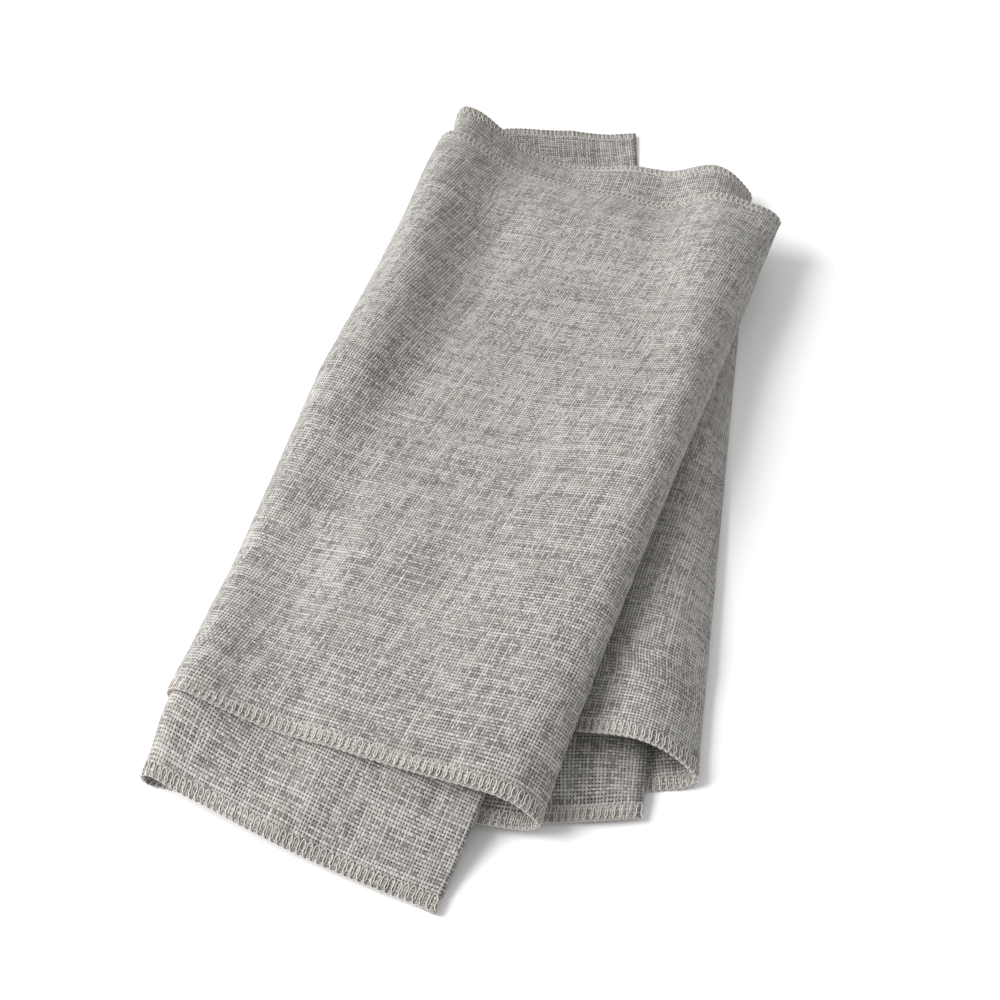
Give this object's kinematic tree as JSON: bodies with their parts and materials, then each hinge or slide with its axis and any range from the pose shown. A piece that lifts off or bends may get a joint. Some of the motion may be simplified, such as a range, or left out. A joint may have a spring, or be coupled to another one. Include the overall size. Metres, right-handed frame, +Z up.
{
  "type": "folded table runner",
  "caption": "Long woven cloth table runner with overlocked long edges, folded back and forth and laid down loosely.",
  "frame": {"origin": "middle of the bounding box's underside, on the surface that the folded cloth lies on", "axes": "+Z up, +Y along the folds towards the far short end, +X across the folds to the right"},
  "size_m": [0.238, 0.3956, 0.0379],
  "materials": {
    "runner": "grey mottled plain weave of coarse matte threads"
  },
  "bodies": {
    "root": {"runner": "runner"}
  },
  "joints": []
}
